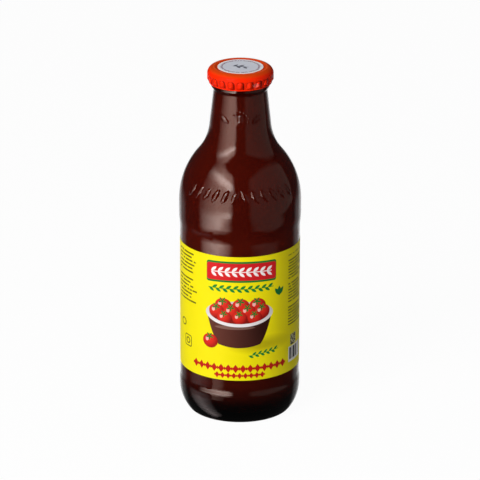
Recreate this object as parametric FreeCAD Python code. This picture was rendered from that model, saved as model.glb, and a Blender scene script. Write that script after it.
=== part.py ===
import FreeCAD, Part
import math
import os

# A glass bottle of sieved tomato, closed with a crimped metal cap. The axis of
# the bottle is +Z, the foot ring stands on z = 0 and the front faces -Y.
# Everything is in millimetres.

os.makedirs("parts", exist_ok=True)

# Glass, from the foot up
total_height = 231.1
body_radius = 39.18
foot_inset = 6.58
foot_width = 4.0
foot_rounding = 0.9
punt_rise = 3.4
heel_end_height = 1.7
heel_radius = 27.0
heel_top_height = 16.7
lower_band_inset = 0.2
lower_band_height = 2.9
lower_step_height = 4.6
panel_inset = 0.63
panel_height = 100.0
upper_step_height = 9.4
upper_band_height = 8.6
shoulder_radius = 50.4
neck_sweep_radius = 32.7
neck_taper = 6.4

# Wall of the glass and the inside of its foot
glass_wall = 2.6
floor_thickness = 3.6
inner_heel_radius = 12.0

# Cap
cap_radius = 21.07
cap_wall = 0.5
cap_height = 9.9
cap_crown_rounding = 4.4
cap_panel_recess = 0.4
cap_panel_slope = 1.3
cap_skirt_height = 5.4
cap_skirt_taper = 12.6
cap_curl_radius = 0.42
bump_count = 21
bump_radius = 2.7
bump_low_height = 0.6
bump_end_height = 1.5
bump_top_gap = 0.25

# Finish of the neck, which the cap grips
finish_height = 14.0
cap_clearance = 0.43
bead_inset = 1.16
bead_step = 1.64
bead_flank_height = 2.6
bead_band_height = 1.5
throat_depth = 0.8
locking_ring_height = 3.4
locking_ring_below_rim = 2.6
lip_step = 1.2
lip_rounding = 1.0

# Papers
sticker_margin = 0.87
sticker_thickness = 0.12
label_bottom_margin = 7.3
label_top_margin = 7.9
label_thickness = 0.11
label_overlap = 9.0

# Sieved tomato
fill_gap = 0.1
fill_below_rim = 8.6

# Raised ornament on the glass
leaf_count = 12
leaf_length = 9.6
leaf_width = 4.2
leaf_rise = 1.1
leaf_sink = 0.25
leaf_lean = 28.0
leaf_row_rise = 13.8
leaf_row_half_angle = 54.0
badge_drop = 15.2
badge_radius = 5.2
badge_bead_count = 14
badge_bead_radius = 0.85
badge_bead_rise = 0.5
badge_leaf_length = 8.4
badge_leaf_angle = 34.0
badge_leaf_lean = 60.0

# Radii that follow from the sizes above
foot_radius = body_radius - foot_inset
lower_band_radius = body_radius - lower_band_inset
panel_radius = body_radius - panel_inset
skirt_slope = math.tan(math.radians(cap_skirt_taper))
cap_edge_radius = cap_radius - cap_skirt_height * skirt_slope
cap_panel_radius = cap_radius - cap_crown_rounding - cap_panel_slope
bead_radius = cap_edge_radius - bead_inset
throat_radius = bead_radius - throat_depth
neck_top_radius = bead_radius - bead_step
sticker_radius = cap_panel_radius - sticker_margin

# Heights that follow from the sizes above
rim_height = total_height - cap_panel_recess - cap_wall
neck_top_height = rim_height - finish_height
panel_bottom_height = heel_top_height + lower_band_height + lower_step_height
panel_top_height = panel_bottom_height + panel_height
upper_band_bottom = panel_top_height + upper_step_height
shoulder_start = upper_band_bottom + upper_band_height
cap_edge_height = total_height - cap_height
locking_ring_top = rim_height - locking_ring_below_rim
locking_ring_bottom = locking_ring_top - locking_ring_height


def point(radius, height):
    return FreeCAD.Vector(radius, 0, height)


def line(start, end):
    return Part.LineSegment(start, end).toShape()


def arc(centre_radius, centre_height, radius, first_angle, last_angle):
    """Arc in the half plane of the profile, by angles in degrees from outward."""
    points = []
    for share in (0.0, 0.5, 1.0):
        angle = math.radians(first_angle + (last_angle - first_angle) * share)
        points.append(
            point(
                centre_radius + radius * math.cos(angle),
                centre_height + radius * math.sin(angle),
            )
        )
    return Part.Arc(points[0], points[1], points[2]).toShape(), points[0], points[2]


def step(start, end):
    """Two equal arcs that leave and arrive upright, as a soft moulded step."""
    rise = end.z - start.z
    shift = end.x - start.x
    radius = (rise * rise + shift * shift) / (4.0 * abs(shift))
    side = 1.0 if shift > 0 else -1.0
    turn = math.degrees(math.asin(rise / 2.0 / radius))
    middle = point((start.x + end.x) / 2.0, (start.z + end.z) / 2.0)
    half = math.radians(turn / 2.0)
    first = point(
        start.x + side * radius * (1 - math.cos(half)),
        start.z + radius * math.sin(half),
    )
    second = point(
        end.x - side * radius * (1 - math.cos(half)),
        end.z - radius * math.sin(half),
    )
    return [
        Part.Arc(start, first, middle).toShape(),
        Part.Arc(middle, second, end).toShape(),
    ]


def revolve(edges):
    """Solid of revolution of a profile that starts and ends on the axis."""
    first = edges[0].Vertexes[0].Point
    last = edges[-1].Vertexes[-1].Point
    edges = edges + [line(last, first)]
    face = Part.Face(Part.Wire(edges))
    axis = FreeCAD.Vector(0, 0, 1)
    solid = face.revolve(FreeCAD.Vector(0, 0, 0), axis, 360)
    if solid.Volume < 0:
        solid.reverse()
    return solid


def chain(points):
    edges = []
    for start, end in zip(points[:-1], points[1:]):
        edges.append(line(start, end))
    return edges


def shoulder_turn():
    """Angle at which the shoulder arc hands over to the neck sweep, in degrees."""
    taper = math.radians(neck_taper)
    low = taper
    high = math.radians(89.0)
    for _ in range(60):
        turn = (low + high) / 2.0
        end_radius = (
            body_radius
            - shoulder_radius * (1 - math.cos(turn))
            - neck_sweep_radius * (math.cos(taper) - math.cos(turn))
        )
        end_height = (
            shoulder_start
            + shoulder_radius * math.sin(turn)
            + neck_sweep_radius * (math.sin(turn) - math.sin(taper))
        )
        cone_rise = neck_top_height - end_height
        if end_radius - cone_rise * math.tan(taper) > neck_top_radius:
            low = turn
        else:
            high = turn
    return math.degrees(turn)


def neck_curves(offset):
    """Shoulder arc, neck sweep and neck cone, moved out by offset."""
    taper = math.radians(neck_taper)
    turn = shoulder_turn()
    centre_radius = body_radius - shoulder_radius
    shoulder = arc(centre_radius, shoulder_start, shoulder_radius + offset, 0.0, turn)
    reach = shoulder_radius + neck_sweep_radius
    sweep = arc(
        centre_radius + reach * math.cos(math.radians(turn)),
        shoulder_start + reach * math.sin(math.radians(turn)),
        neck_sweep_radius - offset,
        180.0 + turn,
        180.0 + neck_taper,
    )
    cone_start = sweep[2]
    rise = neck_top_height - cone_start.z
    cone_end = point(cone_start.x - rise * math.tan(taper), neck_top_height)
    edges = [shoulder[0], sweep[0], line(cone_start, cone_end)]
    return edges, shoulder[1], cone_end


def skirt_radius_at(rise):
    """Outer radius of the cap's tapered skirt at a height above its edge."""
    return cap_edge_radius + rise * skirt_slope


def heel_radius_at(height):
    drop = heel_top_height - height
    reach = math.sqrt(heel_radius * heel_radius - drop * drop)
    return lower_band_radius - heel_radius + reach


def punt_arc(foot_inner_radius):
    """Hollow under the foot: a shallow dome."""
    radius = (foot_inner_radius**2 + punt_rise**2) / (2.0 * punt_rise)
    half = math.asin(foot_inner_radius / radius) / 2.0
    middle = point(
        radius * math.sin(half), punt_rise - radius * (1 - math.cos(half))
    )
    return Part.Arc(point(0, punt_rise), middle, point(foot_inner_radius, 0)).toShape()


def outer_body_edges(offset):
    """Outside of the glass from the axis under the foot to the top of the neck."""
    foot_inner_radius = foot_radius - foot_width
    edges = [punt_arc(foot_inner_radius)]
    edges.append(line(point(foot_inner_radius, 0), point(foot_radius, 0)))
    foot_arc = arc(foot_radius, foot_rounding, foot_rounding, -90.0, 0.0)
    edges.append(foot_arc[0])
    heel_bottom = point(heel_radius_at(heel_end_height), heel_end_height)
    edges.append(line(foot_arc[2], heel_bottom))
    heel_angle = math.degrees(
        math.asin((heel_top_height - heel_end_height) / heel_radius)
    )
    heel = arc(
        lower_band_radius - heel_radius,
        heel_top_height,
        heel_radius,
        -heel_angle,
        0.0,
    )
    edges.append(heel[0])
    lower_band_top = point(lower_band_radius, heel_top_height + lower_band_height)
    edges.append(line(heel[2], lower_band_top))
    panel_bottom = point(panel_radius, panel_bottom_height)
    edges.extend(step(lower_band_top, panel_bottom))
    panel_top = point(panel_radius, panel_top_height)
    edges.append(line(panel_bottom, panel_top))
    band_bottom = point(body_radius, upper_band_bottom)
    edges.extend(step(panel_top, band_bottom))
    neck, neck_start, neck_end = neck_curves(offset)
    edges.append(line(band_bottom, neck_start))
    edges.extend(neck)
    return edges, neck_end


def finish_edges(start):
    """Bead, throat, locking ring and lip above the neck, up to the axis."""
    bead_low = point(bead_radius, start.z + bead_flank_height)
    bead_high = point(bead_radius, bead_low.z + bead_band_height)
    throat_start = point(throat_radius, bead_high.z + throat_depth)
    skirt_inside = skirt_radius_at(locking_ring_bottom - cap_edge_height) - cap_wall
    ring_radius = skirt_inside - cap_clearance
    chamfer = (ring_radius - throat_radius) / 2.0
    throat_end = point(throat_radius, locking_ring_bottom - chamfer)
    ring_low = point(ring_radius, locking_ring_bottom)
    ring_high = point(ring_radius, locking_ring_top)
    lip_radius = ring_radius - lip_step
    lip_low = point(lip_radius, locking_ring_top + lip_step)
    lip_high = point(lip_radius, rim_height - lip_rounding)
    edges = chain(
        [
            start,
            bead_low,
            bead_high,
            throat_start,
            throat_end,
            ring_low,
            ring_high,
            lip_low,
            lip_high,
        ]
    )
    lip_centre = lip_radius - lip_rounding
    lip = arc(lip_centre, rim_height - lip_rounding, lip_rounding, 0.0, 90.0)
    edges.append(lip[0])
    edges.append(line(lip[2], point(0, rim_height)))
    return edges


def cavity_edges(gap, top_height):
    """Inside of the glass, drawn in by gap, from the floor to a height."""
    inner_radius = body_radius - glass_wall - gap
    floor_height = punt_rise + floor_thickness + gap
    corner = inner_heel_radius - gap
    heel = arc(inner_radius - corner, floor_height + corner, corner, -90.0, 0.0)
    edges = [line(point(0, floor_height), heel[1]), heel[0]]
    neck, neck_start, neck_end = neck_curves(-glass_wall - gap)
    edges.append(line(heel[2], neck_start))
    edges.extend(neck)
    above = point(neck_end.x, top_height)
    edges.append(line(neck_end, above))
    edges.append(line(above, point(0, top_height)))
    return edges


def outside_at(height):
    """Outer radius of the shoulder or neck at a height, and its slope in degrees."""
    taper = math.radians(neck_taper)
    turn = math.radians(shoulder_turn())
    centre_radius = body_radius - shoulder_radius
    reach = shoulder_radius + neck_sweep_radius
    sweep_radius = centre_radius + reach * math.cos(turn)
    sweep_height = shoulder_start + reach * math.sin(turn)
    if height < shoulder_start + shoulder_radius * math.sin(turn):
        slope = math.asin((height - shoulder_start) / shoulder_radius)
        return centre_radius + shoulder_radius * math.cos(slope), math.degrees(slope)
    if height < sweep_height - neck_sweep_radius * math.sin(taper):
        slope = math.asin((sweep_height - height) / neck_sweep_radius)
        return sweep_radius - neck_sweep_radius * math.cos(slope), math.degrees(slope)
    rise = neck_top_height - height
    return neck_top_radius + rise * math.tan(taper), neck_taper


def domed_leaf(length):
    """Spindle along Z with a leaf's outline, cut to its outer part towards -Y."""
    half_width = leaf_width / 2.0
    belly = (half_width**2 + leaf_rise**2) / (2.0 * leaf_rise)
    tip = FreeCAD.Vector(belly - leaf_rise, 0, length / 2.0)
    root = FreeCAD.Vector(belly - leaf_rise, 0, -length / 2.0)
    bend = Part.Arc(root, FreeCAD.Vector(belly, 0, 0), tip).toShape()
    inner_tip = FreeCAD.Vector(0, 0, length / 2.0)
    inner_root = FreeCAD.Vector(0, 0, -length / 2.0)
    edges = [bend, line(tip, inner_tip), line(inner_tip, inner_root), line(inner_root, root)]
    face = Part.Face(Part.Wire(edges))
    body = face.revolve(FreeCAD.Vector(0, 0, 0), FreeCAD.Vector(0, 0, 1), 360)
    body.translate(FreeCAD.Vector(0, belly - leaf_rise + leaf_sink, 0))
    return body


def stand_on_glass(shape, lean, height, around):
    """Lean a shape, tip it onto the slope of the glass and move it to its place."""
    radius, slope = outside_at(height)
    placed = shape.copy()
    middle = FreeCAD.Vector(0, 0, 0)
    placed.rotate(middle, FreeCAD.Vector(0, 1, 0), lean)
    placed.rotate(middle, FreeCAD.Vector(1, 0, 0), -slope)
    placed.translate(FreeCAD.Vector(0, -radius, height))
    placed.rotate(middle, FreeCAD.Vector(0, 0, 1), around)
    return placed


def ornament():
    """Row of leaning leaves on the shoulder, and a beaded badge on the neck."""
    shapes = []
    leaf_row_height = shoulder_start + leaf_row_rise
    for index in range(leaf_count):
        share = index / (leaf_count - 1.0) * 2.0 - 1.0
        lean = math.copysign(leaf_lean, -share)
        around = share * leaf_row_half_angle
        shapes.append(stand_on_glass(domed_leaf(leaf_length), lean, leaf_row_height, around))
    badge_height = neck_top_height - badge_drop
    bead_depth = badge_bead_radius - badge_bead_rise
    bead = Part.makeSphere(badge_bead_radius, FreeCAD.Vector(0, bead_depth, 0))
    for index in range(badge_bead_count):
        turn = 2.0 * math.pi * index / badge_bead_count
        bead_height = badge_height + badge_radius * math.cos(turn)
        bead_side = badge_radius * math.sin(turn)
        around = math.degrees(bead_side / outside_at(bead_height)[0])
        shapes.append(stand_on_glass(bead, 0, bead_height, around))
    small_leaf = domed_leaf(badge_leaf_length)
    shapes.append(stand_on_glass(small_leaf, 0, badge_height, 0))
    for side in (-1, 1):
        lean = side * badge_leaf_lean
        around = side * badge_leaf_angle
        shapes.append(stand_on_glass(small_leaf, lean, badge_height, around))
    return shapes


def make_glass():
    edges, neck_end = outer_body_edges(0.0)
    edges.extend(finish_edges(neck_end))
    body = revolve(edges)
    body = body.fuse(ornament())
    cavity = revolve(cavity_edges(0.0, rim_height))
    glass = body.cut(cavity)
    return glass.Solids[0]


def make_fill():
    level = rim_height - fill_below_rim
    cavity = revolve(cavity_edges(fill_gap, rim_height))
    tool = Part.makeBox(
        4 * body_radius,
        4 * body_radius,
        rim_height,
        FreeCAD.Vector(-2 * body_radius, -2 * body_radius, level),
    )
    return cavity.cut(tool).Solids[0]


def cap_outline(inset):
    """Outside of the cap, or its inside when inset by the wall."""
    crest_radius = cap_radius - cap_crown_rounding
    crest_centre = total_height - cap_crown_rounding
    skirt_top = cap_edge_height + cap_skirt_height
    panel_face = total_height - cap_panel_recess - inset
    skirt_low = point(cap_edge_radius - inset, cap_edge_height)
    edges = [line(skirt_low, point(cap_radius - inset, skirt_top))]
    crown = arc(crest_radius, crest_centre, cap_crown_rounding - inset, 0.0, 90.0)
    edges.append(line(point(cap_radius - inset, skirt_top), crown[1]))
    edges.append(crown[0])
    slope_end = point(cap_panel_radius, panel_face)
    edges.append(line(crown[2], slope_end))
    edges.append(line(slope_end, point(0, panel_face)))
    return edges


def bump(index):
    """Upright round bump of the crimped skirt, flush with the band above it."""
    bottom = cap_edge_height + bump_low_height / 2.0
    height = cap_skirt_height - bump_top_gap - bump_low_height / 2.0
    distance = cap_radius - bump_radius
    shape = Part.makeCylinder(bump_radius, height, FreeCAD.Vector(0, -distance, bottom))
    around = index * 360.0 / bump_count
    shape.rotate(FreeCAD.Vector(0, 0, 0), FreeCAD.Vector(0, 0, 1), around)
    return shape


def bump_hull():
    """Cone that trims the lower ends of the bumps to a slope."""
    low_radius = skirt_radius_at(bump_low_height) - cap_wall / 8.0
    slope = (cap_radius - low_radius) / bump_end_height
    low = cap_edge_height + bump_low_height
    top = cap_edge_height + 2.0 * cap_skirt_height
    corners = [
        point(0, low),
        point(low_radius, low),
        point(low_radius + slope * (top - low), top),
        point(0, top),
    ]
    return revolve(chain(corners))


def make_cap():
    outside = cap_outline(0.0)
    floor = line(point(0, cap_edge_height), point(cap_edge_radius, cap_edge_height))
    shell = revolve([floor] + outside)
    hull = bump_hull()
    bumps = []
    for index in range(bump_count):
        bumps.extend(bump(index).common(hull).Solids)
    shell = shell.fuse(bumps)
    inside = cap_outline(cap_wall)
    low = cap_edge_height - 2.0
    inner_radius = cap_edge_radius - cap_wall
    floor = chain([point(0, low), point(inner_radius, low)])
    floor.append(line(point(inner_radius, low), point(inner_radius, cap_edge_height)))
    hollow = revolve(floor + inside)
    curl = Part.makeTorus(
        cap_edge_radius - cap_wall / 2.0,
        cap_curl_radius,
        FreeCAD.Vector(0, 0, cap_edge_height),
        FreeCAD.Vector(0, 0, 1),
    )
    cap = shell.cut(hollow).fuse(curl)
    return cap.Solids[0]


def make_sticker():
    height = total_height - cap_panel_recess
    return Part.makeCylinder(
        sticker_radius, sticker_thickness, FreeCAD.Vector(0, 0, height)
    )


def make_label():
    """Paper once round the panel, with its end glued over its start behind."""
    bottom = panel_bottom_height + label_bottom_margin
    height = panel_height - label_bottom_margin - label_top_margin
    low = FreeCAD.Vector(0, 0, bottom)
    up = FreeCAD.Vector(0, 0, 1)
    outer = Part.makeCylinder(panel_radius + label_thickness, height, low)
    inner = Part.makeCylinder(panel_radius, height, low)
    wrap = outer.cut(inner)
    angle = math.degrees(label_overlap / panel_radius)
    flap_radius = panel_radius + 2 * label_thickness
    over = Part.makeCylinder(flap_radius, height, low, up, angle)
    core = Part.makeCylinder(panel_radius + label_thickness / 2.0, height, low)
    flap = over.cut(core)
    flap.rotate(FreeCAD.Vector(0, 0, 0), up, 90.0 - angle / 2.0)
    return wrap.fuse(flap).removeSplitter().Solids[0]


makers = {
    "bottle_glass": make_glass,
    "passata": make_fill,
    "cap": make_cap,
    "cap_sticker": make_sticker,
    "body_label": make_label,
}
for name, maker in makers.items():
    shape = maker()
    shape.exportStep("parts/" + name + ".step")
    box = shape.BoundBox
    print(
        name,
        shape.ShapeType,
        "valid",
        shape.isValid(),
        "volume %.2f ml" % (shape.Volume / 1000.0),
        "z %.2f to %.2f" % (box.ZMin, box.ZMax),
        "x %.2f to %.2f" % (box.XMin, box.XMax),
    )
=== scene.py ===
# %% [markdown]
# # A glass bottle of passata
# The bottle was modelled in CAD, and its packed parts are loaded here as a fixed frame. This
# script gives each part its finish: brown moulded glass, sieved tomato behind it, a red
# lacquered cap with a paper seal, and a printed yellow label. The sizes of the bottle, cap,
# seal and label are read from the frame, and what is drawn on them is placed in millimetres.

import math

import bpy
from mathutils import Matrix, Vector


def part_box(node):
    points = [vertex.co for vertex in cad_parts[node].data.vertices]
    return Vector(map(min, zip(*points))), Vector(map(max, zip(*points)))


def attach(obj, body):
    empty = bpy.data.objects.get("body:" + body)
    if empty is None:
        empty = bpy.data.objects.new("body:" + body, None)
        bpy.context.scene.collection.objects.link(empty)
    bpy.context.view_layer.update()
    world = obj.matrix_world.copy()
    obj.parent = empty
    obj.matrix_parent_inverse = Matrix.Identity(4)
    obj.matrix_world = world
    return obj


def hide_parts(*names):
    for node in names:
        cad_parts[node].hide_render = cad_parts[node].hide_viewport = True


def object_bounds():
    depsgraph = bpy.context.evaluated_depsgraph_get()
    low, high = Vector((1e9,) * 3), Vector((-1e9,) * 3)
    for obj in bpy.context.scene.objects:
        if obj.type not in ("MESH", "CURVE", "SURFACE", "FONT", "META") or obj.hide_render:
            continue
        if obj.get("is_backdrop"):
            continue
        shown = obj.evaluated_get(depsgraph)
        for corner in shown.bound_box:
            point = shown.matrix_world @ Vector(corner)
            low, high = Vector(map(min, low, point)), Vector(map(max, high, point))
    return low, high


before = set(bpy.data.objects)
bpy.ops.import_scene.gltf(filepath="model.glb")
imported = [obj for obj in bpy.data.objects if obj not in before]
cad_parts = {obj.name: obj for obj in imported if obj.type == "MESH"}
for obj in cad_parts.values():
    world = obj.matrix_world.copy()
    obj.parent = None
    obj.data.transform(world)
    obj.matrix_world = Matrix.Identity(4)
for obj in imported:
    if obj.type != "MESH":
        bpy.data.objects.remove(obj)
cad_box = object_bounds()
MM = 0.001
bottle_height = cad_box[1][2]
for name in sorted(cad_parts):
    low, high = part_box(name)
    print(name, "runs from", round(low.z / MM, 1), "to", round(high.z / MM, 1), "mm")

# %% [markdown]
# ## Shader maths in plain Python
# A procedural finish is a long sum: distances, masks, noise. Written as nodes by hand it is
# hard to read, so one small class wraps a socket and lets Python's own operators add the
# Math nodes. Colours go through Mix, because a Math node would turn them grey.


# %% A socket that works in expressions
def feed(tree, socket, value):
    """Link a wire to a socket, or set its plain value."""
    if isinstance(value, Wire):
        tree.links.new(value.socket, socket)
    elif hasattr(socket.default_value, "__len__") and not hasattr(value, "__len__"):
        socket.default_value = (value,) * len(socket.default_value)
    else:
        socket.default_value = value


class Wire:
    """One output socket of a node, which can stand in a Python expression."""

    def __init__(self, socket):
        self.socket = socket
        self.tree = socket.id_data

    def maths(self, operation, *others):
        """A Math node with that operation on this value and the others."""
        terms = dict(enumerate((self, *others)))
        return add_node(self.tree, "Math", {"operation": operation}, terms)

    def __add__(self, other):
        return self.maths("ADD", other)

    def __sub__(self, other):
        return self.maths("SUBTRACT", other)

    def __rsub__(self, other):
        return self * -1.0 + other

    def __mul__(self, other):
        return self.maths("MULTIPLY", other)

    def __truediv__(self, other):
        return self.maths("DIVIDE", other)

    def __neg__(self):
        return self.maths("MULTIPLY", -1.0)

    def __abs__(self):
        return self.maths("ABSOLUTE")

    def __pow__(self, other):
        return self.maths("POWER", other)

    def __mod__(self, other):
        return self.maths("FLOORED_MODULO", other)

    __radd__ = __add__
    __rmul__ = __mul__

    def at_least(self, other):
        return self.maths("MAXIMUM", other)

    def at_most(self, other):
        return self.maths("MINIMUM", other)

    def clipped(self):
        """The value held between 0 and 1."""
        return self.at_least(0.0).at_most(1.0)


print("a Wire knows", [name for name in vars(Wire) if name.startswith("at_")])

# %% [markdown]
# ## One way to add a node
# Noise, Mix, Bump and the shaders all differ in their settings and sockets. One function takes
# the node's type, its settings and what goes into its sockets, sets the settings first, because
# they can change which sockets there are, and gives back one output as a wire.


# %% Add a node
def add_node(tree, kind, settings=None, sockets=None, output=0):
    """Add a shader node: its settings first, then the values or links of its sockets."""
    node = tree.nodes.new("ShaderNode" + kind)
    for name, value in (settings or {}).items():
        setattr(node, name, value)
    for name, value in (sockets or {}).items():
        feed(tree, node.inputs[name], value)
    return Wire(node.outputs[output])


def parts_of(tree, vector, count=3):
    """The first parts of a vector, each as a wire."""
    return [add_node(tree, "SeparateXYZ", sockets={0: vector}, output=i) for i in range(count)]


print("a node gets its settings first, then its sockets")

# %% [markdown]
# ## Inks
# A printer names an ink by three numbers from 0 to 255, but a shader wants linear light, so
# each ink is turned into that once. Laying one ink over another is a Mix node, whose factor is
# the mask of the shape that is printed.


# %% Inks and layers
def ink(red, green, blue):
    """A colour as a printer names it, 0 to 255, turned into the linear values shaders use."""
    channels = [value / 255.0 for value in (red, green, blue)]
    return tuple(c / 12.92 if c < 0.04045 else ((c + 0.055) / 1.055) ** 2.4 for c in channels)


# A Mix node keeps sockets for every type it can mix; these are its colours A, B and result.
MIX_COLOURS = (6, 7)
MIX_COLOUR_OUT = 2


def layer(tree, mask, below, above):
    """The colour above laid over the colour below, where the mask is 1."""
    sockets = {0: mask}
    for name, value in zip(MIX_COLOURS, (below, above)):
        sockets[name] = (*value, 1.0) if isinstance(value, tuple) else value
    return add_node(tree, "Mix", {"data_type": "RGBA"}, sockets, output=MIX_COLOUR_OUT)


print("ink(255, 0, 0) in linear values:", ink(255, 0, 0))

# %% [markdown]
# ## A finish and its starting points
# Each material starts from an empty tree and its output node, and those on the bottle also from
# the place on the object in millimetres. The object's own coordinates are used, because every
# CAD part sits at the origin, so a place in the shader is a place on the drawing.


# %% Start a material
def new_finish(name):
    """An empty material, its tree and its output node."""
    material = bpy.data.materials.new(name)
    material.use_nodes = True
    tree = material.node_tree
    tree.nodes.clear()
    return material, tree, tree.nodes.new("ShaderNodeOutputMaterial")


def place_in_mm(tree):
    """The object's own coordinates in millimetres: the vector and its three parts."""
    metres = add_node(tree, "TexCoord", output="Object")
    scaled = {0: metres, "Scale": 1.0 / MM}
    vector = add_node(tree, "VectorMath", {"operation": "SCALE"}, scaled)
    return vector, *parts_of(tree, vector)


def noise(tree, vector, size_mm, detail=2.0, roughness=0.5):
    """Soft noise from 0 to 1 whose blobs are about size_mm across."""
    sockets = {"Vector": vector, "Scale": 1.0 / size_mm, "Detail": detail}
    sockets["Roughness"] = roughness
    return add_node(tree, "TexNoise", {"noise_dimensions": "3D"}, sockets)


def bump(tree, height, depth_mm, strength=1.0):
    """A Bump node whose relief is depth_mm high."""
    sockets = {"Height": height, "Distance": depth_mm * MM, "Strength": strength}
    return add_node(tree, "Bump", sockets=sockets)


def dress(node_name, material):
    """Give a CAD node's own object this material in every slot."""
    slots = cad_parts[node_name].data.materials
    if not slots:
        slots.append(material)
    for index in range(len(slots)):
        slots[index] = material
    print(node_name, "wears", material.name)


print("one millimetre is", MM, "m in the shaders")

# %% [markdown]
# ## The camera
# A bottle is photographed with a long lens from a little above, so that its sides stay almost
# parallel while the cap's top shows as a narrow ellipse. The lens is aimed at a point on the
# bottle's axis, a little under half its height.

# %% Camera
camera_pitch = math.radians(20.8)
camera_roll = math.radians(0.15)
camera_distance = 2.3807
aim_height = 0.491 * bottle_height
camera_data = bpy.data.cameras.new("camera")
camera_data.sensor_width = 36.0
camera_data.lens = 277.5
camera = bpy.data.objects.new("camera", camera_data)
bpy.context.scene.collection.objects.link(camera)
camera_offset = Vector((0.0, -math.cos(camera_pitch), math.sin(camera_pitch)))
camera.location = Vector((0.0, 0.0, aim_height)) + camera_distance * camera_offset
tilt = Matrix.Rotation(math.radians(90.0) - camera_pitch, 4, "X")
roll = Matrix.Rotation(camera_roll, 4, "Z")
camera.rotation_euler = (tilt @ roll).to_euler()
bpy.context.scene.camera = camera
bpy.context.scene.view_settings.view_transform = "Standard"
print("camera is", round(camera.location.length, 2), "m away")

# %% [markdown]
# ## The table
# The bottle stands on a plain white table that runs out of sight. To the camera it is nearly
# all glow, with a little matt paint that keeps the bottle's soft shadow. To every other ray it
# is matt only, so its glow doesn't light the bottle. Mirrors pass it by, because one of the
# cards further down hangs below its level, and it casts no shadow itself.

# %% Table
floor_mesh = bpy.data.meshes.new("table")
reach = 6.0
corners = [(-reach, -reach, 0), (reach, -reach, 0), (reach, reach, 0), (-reach, reach, 0)]
floor_mesh.from_pydata(corners, [], [(0, 1, 2, 3)])
table = bpy.data.objects.new("table", floor_mesh)
bpy.context.scene.collection.objects.link(table)
table.visible_glossy = False
table.visible_shadow = False
table_white, tree, out = new_finish("table_white")
shadow_depth = 0.05
white = (1.0, 1.0, 1.0, 1.0)
matt_white = (0.6, 0.6, 0.61, 1.0)
glow_strength = 1.015
matt = add_node(tree, "BsdfDiffuse", sockets={"Color": matt_white})
glow = add_node(tree, "Emission", sockets={"Color": white, "Strength": glow_strength})
seen = add_node(tree, "LightPath", output="Is Camera Ray")
shade = add_node(tree, "MixShader", sockets={0: seen * (1.0 - shadow_depth), 1: matt, 2: glow})
feed(tree, out.inputs["Surface"], shade)
floor_mesh.materials.append(table_white)
table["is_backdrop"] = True
print("table reaches", reach, "m each way")

# %% [markdown]
# ## The room
# Glass shows its room, so the world is white only to the camera. Mirrors see a dim room, with a
# pale band low behind the bottle that draws the thin rims down the straight sides. Rays that go
# through the glass see the same band on a middle grey, and all others get a little even fill.

# %% World
world = bpy.data.worlds.new("studio")
bpy.context.scene.world = world
world.use_nodes = True
tree = world.node_tree
tree.nodes.clear()
room_fill = 0.16
room_dim = 0.03
glass_fill = 0.34
rim_glow, rim_white = 0.28, 0.6
rim_drop = 0.38
direction = add_node(tree, "TexCoord", output="Generated")
_, depth, lift = parts_of(tree, direction)
rim_height = (1.5 - abs(lift + rim_drop) * 7.0).clipped()
rim = ((depth - 0.5) * 6.0).clipped() * rim_glow + ((depth - 0.74) * 8.0).clipped() * rim_white
camera_ray = add_node(tree, "LightPath", output="Is Camera Ray")
mirror_ray = add_node(tree, "LightPath", output="Is Glossy Ray")
clear_ray = add_node(tree, "LightPath", output="Is Transmission Ray")
glass_ray = mirror_ray.at_least(clear_ray)
glass_level = room_dim + rim * rim_height + clear_ray * (glass_fill - room_dim)
level = camera_ray + (1.0 - camera_ray) * (glass_ray * glass_level + (1.0 - glass_ray) * room_fill)
sky = add_node(tree, "Background", sockets={"Color": white, "Strength": level})
room = tree.nodes.new("ShaderNodeOutputWorld")
feed(tree, room.inputs["Surface"], sky)
print("room fill", room_fill)

# %% [markdown]
# ## The key lamp
# One soft lamp, high on the left, lights the label and the cap. It is hidden from mirrors, so
# that what shows in the glass can be set apart from what lights the paint and paper.


# %% Key lamp
def turned(azimuth, height, distance):
    """A place round the bottle: azimuth 0 is in front, and grows towards the right."""
    angle = math.radians(azimuth)
    return Vector((distance * math.sin(angle), -distance * math.cos(angle), height))


def soft_lamp(name, place, size, power):
    """A square area lamp aimed at the bottle, hidden from mirrors."""
    data = bpy.data.lights.new(name, "AREA")
    data.size = size
    data.energy = power
    lamp = bpy.data.objects.new(name, data)
    bpy.context.scene.collection.objects.link(lamp)
    lamp.location = place
    aim = Vector((0.0, 0.0, bottle_height / 2.0)) - place
    lamp.rotation_euler = aim.to_track_quat("-Z", "Y").to_euler()
    lamp.visible_glossy = False
    lamp.visible_transmission = False
    lamp.visible_camera = False
    return lamp


key = soft_lamp("key_lamp", turned(-35.0, 1.2, 1.5), 0.8, 32.5)
print("key lamp gives", key.data.energy, "W")

# %% [markdown]
# ## Cards for the glass
# A photographer hangs tall cards beside a bottle, because its highlights are nothing but the
# cards' mirror images. The bright one on the left has soft ends and two hot bands, which show
# as hot spots where the neck and the shoulder turn. A small dull one reaches below the table
# for the foot, and a wide faint one on the right lifts that half of the glass from black.


# %% Cards
HOT_WHITE = (10.5, 8.1, 7.2)
BLACK = (0.0, 0.0, 0.0)


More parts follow.
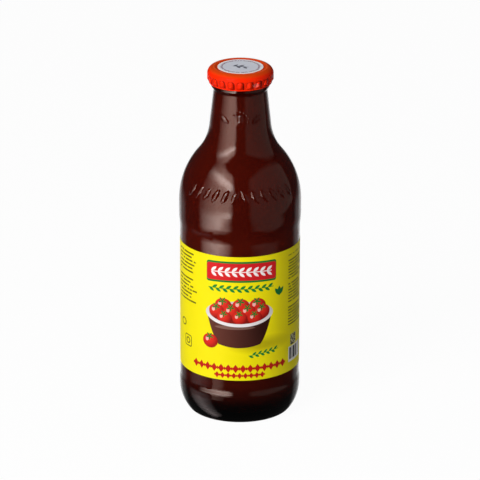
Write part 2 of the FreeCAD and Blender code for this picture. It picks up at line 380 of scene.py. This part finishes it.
def card(name, facing, span, heights, distance, colour, hot_bands, edges):
    """A flat upright card that only mirrors see.

    It faces the bottle from the azimuth facing, and reaches from span[0] to span[1] metres
    along itself, anticlockwise round the bottle as seen from above. Its light fades over the
    shares edges of its width and height: start, end, bottom, top. hot_bands lists brighter
    bands as (share of the height, half width, gain)."""
    middle = turned(facing, 0.0, distance)
    along = Vector((-middle.y, middle.x, 0.0)).normalized()
    bottom, top = heights
    verts = []
    for row in (bottom, top):
        for offset in span:
            verts.append(middle + along * offset + Vector((0.0, 0.0, row)))
    mesh = bpy.data.meshes.new(name)
    mesh.from_pydata(verts, [], [(0, 1, 3, 2)])
    grid = mesh.uv_layers.new(name="span")
    for loop in mesh.loops:
        row, column = divmod(loop.vertex_index, 2)
        grid.data[loop.index].uv = (column, row)
    board = bpy.data.objects.new(name, mesh)
    bpy.context.scene.collection.objects.link(board)
    board.visible_camera = False
    board.visible_diffuse = False
    board.visible_transmission = False
    board.visible_shadow = False
    material, tree, out = new_finish(name)
    place = add_node(tree, "UVMap", {"uv_map": "span"})
    along_card, up_card = parts_of(tree, place, 2)
    start, end, low_end, high_end = edges
    light = (along_card / start).clipped() * ((1.0 - along_card) / end).clipped()
    light = light * (up_card / low_end).clipped() * ((1.0 - up_card) / high_end).clipped()
    tone = colour
    for share, half_width, gain in hot_bands:
        offset = (up_card - share) / half_width
        glare = (offset * offset * -1.0).maths("EXPONENT") * gain
        tone = layer(tree, glare, tone, HOT_WHITE)
    sockets = {"Color": layer(tree, light, BLACK, tone)}
    feed(tree, out.inputs["Surface"], add_node(tree, "Emission", sockets=sockets))
    mesh.materials.append(material)
    board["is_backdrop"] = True
    print(name, "is", round(span[1] - span[0], 2), "m wide and", round(top - bottom, 2), "m high")


bright, dull, faint = (3.6, 2.4, 2.0), (1.4, 1.15, 1.15), (0.29, 0.24, 0.21)
two_bands = [(0.15, 0.05, 0.55), (0.68, 0.08, 1.0)]
card("left_card", -64.0, (-0.3, 1.15), (-0.45, 1.36), 0.9, bright, two_bands, (0.45, 0.22, 0.13, 0.12))
card("low_card", -80.0, (-0.3, 0.25), (-1.3, -0.12), 0.5, dull, [], (0.5, 0.5, 0.3, 0.1))
card("right_card", 52.0, (-0.85, 2.3), (-0.38, 1.3), 1.1, faint, [], (0.08, 0.12, 0.06, 0.15))

# %% [markdown]
# ## Brown glass
# Moulded glass is never quite even: its skin has long slow waves that bend reflections, and
# two faint upright seams where the halves of the mould met. Its colour comes from depth, so
# the shader is nearly clear at the skin and a volume inside takes light away: the wall lets
# the tomato through, and the thick foot goes almost black. Lamps reach what is behind glass
# only by slow bent paths, so shadow rays meet a plain tinted clear shader instead.

# %% Glass
brown_glass, tree, out = new_finish("brown_glass")
where, x, y, z = place_in_mm(tree)
slow = noise(tree, where, 24.0, detail=1.0)
ripple = noise(tree, where, 8.0, detail=1.0)
seam = (1.0 - abs(y) / 0.5).clipped()
skin_depth = 0.5
skin = bump(tree, slow * 0.8 + ripple * 0.16 + seam * 0.12, skin_depth)
glass_tint = (0.62, 0.42, 0.30, 1.0)
shade_tint = (0.24, 0.20, 0.17, 1.0)
amber = {"Color": (0.55, 0.27, 0.05, 1.0), "Density": 330.0}
glass = add_node(tree, "BsdfPrincipled", sockets={
    "Base Color": glass_tint,
    "Roughness": 0.03,
    "IOR": 1.5,
    "Transmission Weight": 1.0,
    "Normal": skin,
})
clear = add_node(tree, "BsdfTransparent", sockets={"Color": shade_tint})
to_lamp = add_node(tree, "LightPath", output="Is Shadow Ray")
skins = {0: to_lamp, 1: glass, 2: clear}
feed(tree, out.inputs["Surface"], add_node(tree, "MixShader", sockets=skins))
feed(tree, out.inputs["Volume"], add_node(tree, "VolumeAbsorption", sockets=amber))
dress("bottle_glass", brown_glass)

# %% [markdown]
# ## Sieved tomato
# The sauce wets the inside of the glass, so no air shows between them. The CAD solid stops a
# hair short of the wall, and here a copy of it is swollen until it reaches just into the
# wall. Its level is left where it is, so only the sides and the foot move.

# %% Passata piece
swell = 0.35 * MM
level_slack = 0.01 * MM
sauce_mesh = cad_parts["passata"].data.copy()
level_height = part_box("passata")[1].z
for vertex in sauce_mesh.vertices:
    push = vertex.normal * swell
    if vertex.co.z > level_height - level_slack:
        push.z = 0.0
    vertex.co = vertex.co + push
sauce = bpy.data.objects.new("sauce", sauce_mesh)
bpy.context.scene.collection.objects.link(sauce)
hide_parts("passata")
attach(sauce, "root")
print("sauce has", len(sauce_mesh.polygons), "faces")

# %% [markdown]
# ## The look of the sauce
# Behind glass a thick sauce looks even, with slow drifts of colour and fine lighter pulp. Low
# down its colour is darkened as painted shade, because little light gets into the heel
# through the thick curved glass.

# %% Tomato finish
wet_tomato, tree, out = new_finish("wet_tomato")
where, x, y, z = place_in_mm(tree)
drift = noise(tree, where, 30.0, detail=3.0)
pulp = noise(tree, where, 2.2, detail=3.0)
deep_red, mid_red, pulp_red = (0.36, 0.034, 0.007), (0.46, 0.047, 0.009), (0.54, 0.074, 0.014)
heel_painted_shade = (0.05, 0.005, 0.002)
heel_top, heel_fade = 38.0, 26.0
sauce_red = layer(tree, drift, deep_red, mid_red)
sauce_red = layer(tree, ((pulp - 0.55) * 2.0).clipped(), sauce_red, pulp_red)
# Painted shade: the colour goes dark towards the heel.
sauce_red = layer(tree, ((heel_top - z) / heel_fade).clipped(), sauce_red, heel_painted_shade)
sauce_shader = add_node(tree, "BsdfPrincipled", sockets={
    "Base Color": sauce_red,
    "Roughness": 0.45 + pulp * 0.2,
    "Specular IOR Level": 0.2,
    "Normal": bump(tree, pulp, 0.08),
})
feed(tree, out.inputs["Surface"], sauce_shader)
sauce_mesh.materials.clear()
sauce_mesh.materials.append(wet_tomato)
print("sauce darkens below", heel_top, "mm")

# %% [markdown]
# ## Drawing on a shader
# Print and paint are drawn as masks: numbers that are 1 inside a shape and 0 outside, with
# an edge about as soft as real ink. A shape is a few lines of geometry on two wires, across
# and up, both in millimetres. Repeating a shape costs nothing: the remainder of a division
# turns one leaf into a row of leaves.

# %% Shapes
INK_EDGE = 0.16


def inside(distance):
    """Mask of a signed distance in mm that is positive inside the shape."""
    return (distance / INK_EDGE + 0.5).clipped()


def length_of(across, up):
    """Distance of a point from the middle of its own drawing."""
    return (across * across + up * up).maths("SQRT")


def oval(across, up, half_width, half_height):
    """Filled ellipse about the middle."""
    reach = length_of(across / half_width, up / half_height)
    return inside((1.0 - reach) * min(half_width, half_height))


def slab(across, up, width, height, corner):
    """Rectangle with round corners about the middle."""
    over = (abs(across) - (width / 2.0 - corner)).at_least(0.0)
    above = (abs(up) - (height / 2.0 - corner)).at_least(0.0)
    return inside(corner - length_of(over, above))


def between(value, low, high):
    """Mask of a plain band."""
    return inside((value - low).at_most(high - value))


def blade(across, up, length, width, angle):
    """Pointed leaf about the middle, turned by an angle in degrees."""
    turn = math.radians(angle)
    along = across * math.cos(turn) + up * math.sin(turn)
    out_by = up * math.cos(turn) - across * math.sin(turn)
    share = along * (2.0 / length)
    return inside((1.0 - share * share) * (width / 2.0) - abs(out_by))


def star(across, up, radius):
    """Five-pointed calyx."""
    angle = up.maths("ARCTAN2", across)
    wave = (angle * 5.0 + 1.4).maths("COSINE")
    return inside(wave * (0.38 * radius) + 0.62 * radius - length_of(across, up))


def repeat(value, pitch):
    """Turn a long line into cells of one pitch, each with its middle at zero."""
    return (value + pitch / 2.0) % pitch - pitch / 2.0


print("an ink edge is", INK_EDGE, "mm soft")

# %% [markdown]
# ## The cap
# The cap is pressed from tinplate and lacquered before it is crimped. Lacquer is satin, not
# wet. A pale ring of painted highlight runs round the raised ring at the top. The CAD part
# has the bumps; the finish rounds their tops, paints shade into the creases beside them,
# darker on the side away from the lamp, and scuffs one place at the right.

# %% Cap finish
cap_low, cap_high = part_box("cap")
bump_count = 21
cap_radius = cap_high.x / MM
bump_pitch = 2.0 * math.pi * cap_radius / bump_count
skirt_low = cap_low.z / MM + 1.0
skirt_height = 5.2
arch_foot = 2.6
arch_half_width, arch_height = 2.0, 2.5
cap_lacquer, tree, out = new_finish("cap_lacquer")
where, x, y, z = place_in_mm(tree)
angle = x.maths("ARCTAN2", -y)
cell = repeat(angle * cap_radius, bump_pitch)
rise = (z - (skirt_low + arch_foot)).at_least(0.0)
arch = length_of(cell / arch_half_width, rise / arch_height)
dome = (1.0 - arch * arch).at_least(0.0)
skirt = between(z, skirt_low, skirt_low + skirt_height)
# Painted shade: the creases round the bumps are darkened, more on their right, the side away from the
# lamp.
painted_crease_shade = (1.0 - abs(arch - 1.1) / 0.3).clipped() * skirt
shaded_side_weight = (cell * 0.22 + 0.74).clipped()
rub = noise(tree, where, 1.0, detail=4.0, roughness=0.7)
haze = noise(tree, where, 9.0)
red = layer(tree, haze, ink(250, 30, 0), ink(255, 46, 1))
top_face = ((z - (cap_high.z / MM - 2.2)) / 1.6).clipped()
red = layer(tree, top_face, red, ink(218, 66, 10))
# Painted highlight: a pale ring on the raised crest round the top, where it catches the lamp.
crest = length_of(x, y) - (cap_radius - 4.2)
crest_painted_highlight = (1.0 - abs(crest) / 0.7).clipped() * 0.6
red = layer(tree, crest_painted_highlight, red, ink(255, 112, 52))
red = layer(tree, painted_crease_shade * shaded_side_weight, red, ink(74, 3, 1))
scuff_angle = math.radians(28.0)
scuff = (1.0 - length_of((angle - scuff_angle) * cap_radius / 3.4, (z - skirt_low - 2.4) / 2.2))
scuff = ((scuff.clipped() * 1.4 + rub - 0.95) * 6.0).clipped()
red = layer(tree, scuff * 0.4, red, ink(204, 130, 122))
grain = noise(tree, where, 0.5)
lacquer = add_node(tree, "BsdfPrincipled", sockets={
    "Base Color": red,
    "Roughness": 0.3 + rub * 0.12,
    "Specular IOR Level": 0.08,
    "Normal": bump(tree, dome * skirt * 1.3 + grain * 0.03, 0.6),
})
feed(tree, out.inputs["Surface"], lacquer)
dress("cap", cap_lacquer)
print("the cap's bumps are", round(bump_pitch, 2), "mm apart")

# %% [markdown]
# ## The paper seal
# A round coated paper is glued into the cap's panel. It has a white edge, a ring of fine
# marks and a small mark in the middle. Any words are left off: the ring is plain dashes and
# the middle is a twig.

# %% Seal finish
seal_paper, tree, out = new_finish("seal_paper")
where, x, y, z = place_in_mm(tree)
seal_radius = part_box("cap_sticker")[1].x / MM
white_edge = 1.3
ring_inner, ring_outer = seal_radius - 3.2, seal_radius - 1.9
reach = length_of(x, y)
angle = x.maths("ARCTAN2", y)
coat = noise(tree, where, 6.0)
face = layer(tree, coat, ink(222, 225, 238), ink(236, 239, 248))
face = layer(tree, inside(reach - (seal_radius - white_edge)), face, ink(255, 255, 255))
dash_place = add_node(tree, "CombineXYZ", sockets={0: angle * 14.0, 1: reach * 0.6})
dash = ((noise(tree, dash_place, 0.9) - 0.44) * 12.0).clipped()
ring_band = between(reach, ring_inner, ring_outer)
face = layer(tree, ring_band * dash * 0.9, face, ink(140, 84, 106))
twig = blade(x, y, 12.0, 1.2, -12.0)
twig_leaves = ((-3.0, 2.2, 48.0), (0.8, 1.7, 40.0), (-1.2, -1.4, -60.0), (3.0, -2.2, -66.0))
for place_x, place_y, turn in twig_leaves:
    twig = twig.at_least(blade(x - place_x, y - place_y, 4.6, 1.9, turn))
face = layer(tree, twig * 0.9, face, ink(78, 80, 96))
seal_shader = add_node(tree, "BsdfPrincipled", sockets={
    "Base Color": face,
    "Roughness": 0.32 + coat * 0.1,
    "Normal": bump(tree, coat, 0.06),
})
feed(tree, out.inputs["Surface"], seal_shader)
dress("cap_sticker", seal_paper)

# %% [markdown]
# ## The label
# The label is one strip of coated yellow paper. Its print is built up as a printer does, one
# ink over another: soft shadow, picture, plate, then small work. Where such a label has words,
# this one has leaves, lozenges and plain strokes of a like colour and size. Two wires,
# across and up, unroll the strip, so that everything below is drawn as if it lay flat.

# %% Label coordinates
label_low, label_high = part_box("body_label")
label_radius = label_high.x / MM
label_bottom = label_low.z / MM
label_height = (label_high.z - label_low.z) / MM
label_print, tree, out = new_finish("label_print")
where, x, y, z = place_in_mm(tree)
across = x.maths("ARCTAN2", -y) * label_radius
up = z - label_bottom
yellow = ink(253, 238, 4)
paper_tone = noise(tree, where, 14.0)
colour = layer(tree, paper_tone, yellow, ink(250, 233, 2))
print("label is", round(2.0 * math.pi * label_radius, 1), "mm round")
print("label is", round(label_height, 1), "mm high")

# %% [markdown]
# ## The bowl
# A picture of a bowl is three shapes: an outline whose half width grows with height, an
# ellipse for the rim and a smaller one for the well. The clay is lighter towards the lamp, and
# a soft shadow on the paper lets the bowl stand.

# %% Bowl
bowl_middle = -0.3
bowl_foot = 22.6
rim_up = 45.8
rim_half_width = 22.6
rim_half_height = 8.8
bowl_across = across - bowl_middle
shadow = 1.0 - length_of((across - 14.0) / 24.0, (up - bowl_foot - 1.5) / 7.0)
colour = layer(tree, (shadow * 1.3).clipped() * 0.5, colour, ink(120, 104, 8))
share = ((up - bowl_foot) / (rim_up - bowl_foot)).clipped()
foot_half_width = 10.2
belly = share ** 0.5 * 11.8 + foot_half_width
sagged_foot = up - bowl_foot - bowl_across * bowl_across * 0.011
bowl_mask = inside(belly - abs(bowl_across)) * inside(sagged_foot) * inside(rim_up - up)
bowl_light = (bowl_across / -40.0 + 0.42 + (paper_tone - 0.5) * 0.2).clipped()
clay = layer(tree, bowl_light, ink(50, 20, 15), ink(100, 54, 44))
gleam = oval(bowl_across + 3.0, up - 36.5, 13.0, 1.3)
clay = layer(tree, gleam * 0.25, clay, ink(200, 160, 145))
colour = layer(tree, bowl_mask, colour, clay)
rim_up_by = up - rim_up
glaze = layer(tree, (rim_up_by / 18.0 + 0.5).clipped(), ink(246, 240, 240), ink(206, 196, 194))
colour = layer(tree, oval(bowl_across, rim_up_by, rim_half_width, rim_half_height), colour, glaze)
well = oval(bowl_across, rim_up_by - 0.3, rim_half_width - 2.6, rim_half_height - 1.9)
colour = layer(tree, well, colour, ink(132, 22, 14))
print("bowl is", 2.0 * rim_half_width, "mm wide at its rim")

# %% [markdown]
# ## Tomatoes
# A painted tomato needs only a body that darkens away from the lamp, a gleam and a green star.
# Ten of them are heaped in rows from the back to the front, so that each row covers part of
# the one behind, and the front rim cuts off the lowest. One more lies beside the bowl.


# %% Tomatoes
def tomato(colour, middle_across, middle_up, radius, cut=1.0):
    """Paint one tomato: body, shade, gleam and calyx. cut is a mask that may hide part."""
    side = across - middle_across
    lift = up - middle_up
    body = oval(side, lift, radius, radius * 0.9) * cut
    calyx = star(side + radius * 0.08, lift - radius * 0.55, radius * 0.5) * cut
    spot = oval(side + radius * 0.42, lift - radius * 0.2, radius * 0.2, radius * 0.28) * cut
    away = length_of((side + radius * 0.25) / radius, (lift - radius * 0.25) / radius)
    flesh = layer(tree, (away * away * 0.62).clipped(), ink(232, 44, 30), ink(140, 10, 10))
    colour = layer(tree, body, colour, flesh)
    colour = layer(tree, spot * 0.75, colour, ink(255, 214, 204))
    return layer(tree, calyx, colour, ink(30, 122, 44))


heap = well.at_least(inside(rim_up_by))
heap_rows = (
    (5.6, (-10.5, 1.0, 11.8), 5.6),
    (1.6, (-15.0, -5.2, 5.6, 15.0), 5.2),
    (-2.6, (-9.8, 0.2, 10.0), 4.8),
)
for row_up, places, radius in heap_rows:
    for place in places:
        colour = tomato(colour, bowl_middle + place, rim_up + row_up, radius, heap)
colour = tomato(colour, -19.8, 26.0, 5.4)
print("tomatoes heaped:", sum(len(places) for _, places, _ in heap_rows))

# %% [markdown]
# ## The plate
# The label's heading is a red plate with a green edge above and below. It holds one white
# sprig, whose leaf pairs are a single pair repeated, and whole cells are kept so that no leaf
# is cut. The plate bows a little, as a ribbon does.

# %% Plate
plate_across = across - 1.2
plate_up = up - 74.0 - (1.0 - plate_across * plate_across / 560.0) * 0.6
plate_green = ink(22, 128, 52)
colour = layer(tree, slab(plate_across, plate_up, 47.0, 14.2, 1.6), colour, plate_green)
colour = layer(tree, slab(plate_across, plate_up, 46.6, 11.6, 1.5), colour, ink(218, 30, 34))
stem = slab(plate_across, plate_up, 40.0, 0.6, 0.2)
leaf_pitch, leaf_pairs = 4.6, 9
sprig_half = leaf_pitch * leaf_pairs / 2.0
pair = blade(repeat(plate_across, leaf_pitch), abs(plate_up) - 1.75, 4.7, 1.9, 38.0)
sprig = stem.at_least(pair * between(plate_across, -sprig_half, sprig_half))
colour = layer(tree, sprig, colour, ink(255, 246, 244))
print("plate carries", leaf_pairs, "pairs of leaves")

# %% [markdown]
# ## Garlands
# Two green garlands run under the plate and under the bowl. Each is a thin stem with leaves by
# turns above and below it. Three broad leaves stand in a fan below the first one's right end.


# %% Garlands and small leaves
def garland(colour, middle, height, slope, leaf_size, leaf_count):
    """Paint a thin straight stem with leaves by turns above and below it."""
    place = across - middle
    level = up - height - place * slope
    pitch = leaf_size * 1.05
    half = pitch * leaf_count / 2.0
    drawn = inside(0.2 - abs(level)) * between(place, -half - pitch / 2.0, half)
    for shift, side_up in ((0.0, 1.0), (pitch / 2.0, -1.0)):
        leaf_level = level - side_up * leaf_size * 0.24
        cell = repeat(place + shift, pitch)
        leaf = blade(cell, leaf_level, leaf_size, leaf_size * 0.42, side_up * 34.0)
        drawn = drawn.at_least(leaf * between(place + shift, -half, half))
    return layer(tree, drawn, colour, ink(24, 136, 50))


colour = garland(colour, 2.0, 63.0, 0.0, 4.4, 9)
colour = garland(colour, 17.0, 18.4, 0.12, 3.6, 5)
broad_leaf_turns = (52.0, 90.0, 128.0)
for turn in broad_leaf_turns:
    side = across - 27.4 - 2.4 * math.cos(math.radians(turn))
    lift = up - 56.4 - 2.4 * math.sin(math.radians(turn))
    colour = layer(tree, blade(side, lift, 6.6, 2.7, turn), colour, ink(20, 120, 56))
print("broad leaves turned by", broad_leaf_turns, "degrees")

# %% [markdown]
# ## Lozenge rows
# Along the foot of the label run two rows of red lozenges, one long and one short. A lozenge is
# where the distances sideways and up, as shares of its half width and half height, add up to
# less than one.


# %% Lozenge rows
def lozenges(colour, start, end, height, tall, pitch):
    """Paint a row of red lozenges with a small one between each two."""
    masks = []
    for shift, scale in ((pitch / 2.0, 1.0), (0.0, 0.45)):
        cell = abs(repeat(across - start - shift, pitch)) / (pitch * 0.45 * scale)
        rise = abs(up - height) / (tall * 0.55 * scale)
        masks.append(inside((1.0 - cell - rise) * 1.8 * scale))
    drawn = masks[0].at_least(masks[1])
    return layer(tree, drawn * between(across, start, end), colour, ink(196, 26, 16))


long_row, short_row = (-33.6, 33.1), (-16.8, 16.8)
colour = lozenges(colour, *long_row, 8.2, 5.2, 4.764)
colour = lozenges(colour, *short_row, 3.4, 3.8, 3.733)
for row_start, row_end in (long_row, short_row):
    print("a lozenge row is", round(row_end - row_start, 1), "mm long")

# %% [markdown]
# ## Small print
# Down both sides and round the back run columns of small print. Each line is a dark stroke
# that a noise breaks into uneven lengths, with a random end, and every eighth line is left out
# as the gap between paragraphs. No letters are formed.

# %% Small print
small_ink = ink(54, 50, 22)


def fine_rows(colour, start, end, low, high, pitch):
    """Paint a column of plain dashes, as long and as uneven as lines of small print."""
    row = ((up - low) / pitch).maths("FLOOR")
    line_up = (up - low) - row * pitch - pitch / 2.0
    address = add_node(tree, "CombineXYZ", sockets={0: across * 0.5, 1: row * 7.3})
    words = noise(tree, address, 1.0, detail=1.0)
    ragged = add_node(tree, "TexWhiteNoise", {"noise_dimensions": "1D"}, {"W": row})
    column = between(across, start, end) * inside(end - ragged * (end - start) * 0.3 - across)
    strokes = inside(pitch * 0.21 - abs(line_up)) * ((words - 0.35) * 14.0).clipped()
    strokes = strokes * (row % 8.0).clipped()
    drawn = strokes * column * between(up, low, high)
    return layer(tree, drawn * 0.9, colour, small_ink)


print_columns = (
    (-52.0, -30.5, 45.0, 83.0, 2.5),
    (36.0, 56.0, 29.5, 80.5, 2.0),
    (-112.0, -60.0, 12.0, 78.0, 2.4),
    (62.0, 112.0, 40.0, 78.0, 2.4),
)
for column in print_columns:
    colour = fine_rows(colour, *column)
print("columns of small print:", len(print_columns))

# %% [markdown]
# ## Signs
# Two small outlined signs sit low on the left: a hoop in a rounded box, and a flat ring. An
# outline is one mask less a smaller one.

# %% Small signs
frame_side, frame_up = across + 39.7, up - 20.8
sign_size, hole_size = 8.0, 6.6
box_outer = slab(frame_side, frame_up, sign_size, sign_size, 1.6)
box_line = box_outer - slab(frame_side, frame_up, hole_size, hole_size, 1.1)
hoop = oval(frame_side, frame_up, 2.3, 2.3) - oval(frame_side, frame_up, 1.4, 1.4)
round_side, round_up = across + 45.4, up - 32.2
mark = oval(round_side, round_up, 3.2, 2.7) - oval(round_side, round_up, 2.2, 1.8)
signs = box_line.at_least(hoop).at_least(mark).clipped()
colour = layer(tree, signs * 0.85, colour, small_ink)
print("the box sign is", sign_size, "mm wide")

# %% [markdown]
# ## Codes
# On the right a square of random cells and a panel of random bars stand where such a label has
# its codes. White noise on whole numbered cells gives each one a value of its own, and those
# above a limit are inked, so they hold no message.

# %% Square of cells and bars
cell_size = 0.75
cells = [(value / cell_size).maths("FLOOR") for value in (across, up)]
address = add_node(tree, "CombineXYZ", sockets={0: cells[0], 1: cells[1]})
speck = add_node(tree, "TexWhiteNoise", {"noise_dimensions": "2D"}, {"Vector": address})
square = slab(across - 42.4, up - 21.2, 7.4, 7.4, 0.1)
colour = layer(tree, square, colour, ink(214, 208, 160))
colour = layer(tree, square * inside(speck - 0.48), colour, ink(84, 80, 60))
panel = slab(across - 45.0, up - 11.6, 17.0, 10.6, 0.2)
colour = layer(tree, panel, colour, ink(244, 242, 234))
bars_per_mm = 2.0
bar_index = (across * bars_per_mm).maths("FLOOR")
bar = add_node(tree, "TexWhiteNoise", {"noise_dimensions": "1D"}, {"W": bar_index})
bars = slab(across - 45.0, up - 12.0, 14.6, 8.2, 0.1) * inside(bar - 0.5)
colour = layer(tree, bars, colour, ink(40, 38, 34))
print("cells are", cell_size, "mm and bars", 1.0 / bars_per_mm, "mm wide")

# %% [markdown]
# ## A ruled table
# Round the right side, towards the back, lies a ruled table with nothing in it.

# %% Ruled table
table_side, table_up = across - 86.0, up - 24.0
table_box = slab(table_side, table_up, 42.0, 24.0, 0.3)
rule_half = 0.18
row_rules = inside(rule_half - abs(repeat(table_up, 4.0)))
rules = row_rules.at_least(inside(rule_half - abs(table_side - 6.0)))
edge_line = table_box - slab(table_side, table_up, 41.2, 23.2, 0.2)
colour = layer(tree, (rules * table_box).at_least(edge_line).clipped() * 0.8, colour, small_ink)
print("rules are", 2.0 * rule_half, "mm thick")

# %% [markdown]
# ## The paper itself
# Coated paper has a soft shine, a faint fibre grain, and long shallow sags where the glue
# holds unevenly. The print gives only the colour; the grain and the sags go into the bump.

# %% Label finish
fibre = noise(tree, where, 0.7, detail=3.0)
sag = noise(tree, where, 20.0, detail=1.0)
paper = add_node(tree, "BsdfPrincipled", sockets={
    "Base Color": colour,
    "Roughness": 0.42 + fibre * 0.12,
    "Specular IOR Level": 0.1,
    "Normal": bump(tree, fibre * 0.05 + sag * 0.5, 0.25),
})
feed(tree, out.inputs["Surface"], paper)
dress("body_label", label_print)
print("label print uses", len(tree.nodes), "nodes")

# %% [markdown]
# ## Outlines
# The outline of the finished model is written beside that of the CAD model, so that the two
# can be compared.

# %% Finish
visual_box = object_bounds()
sizes = {"cad": [list(c) for c in cad_box], "visual": [list(c) for c in visual_box]}
print("cad box", sizes["cad"], "visual box", sizes["visual"])
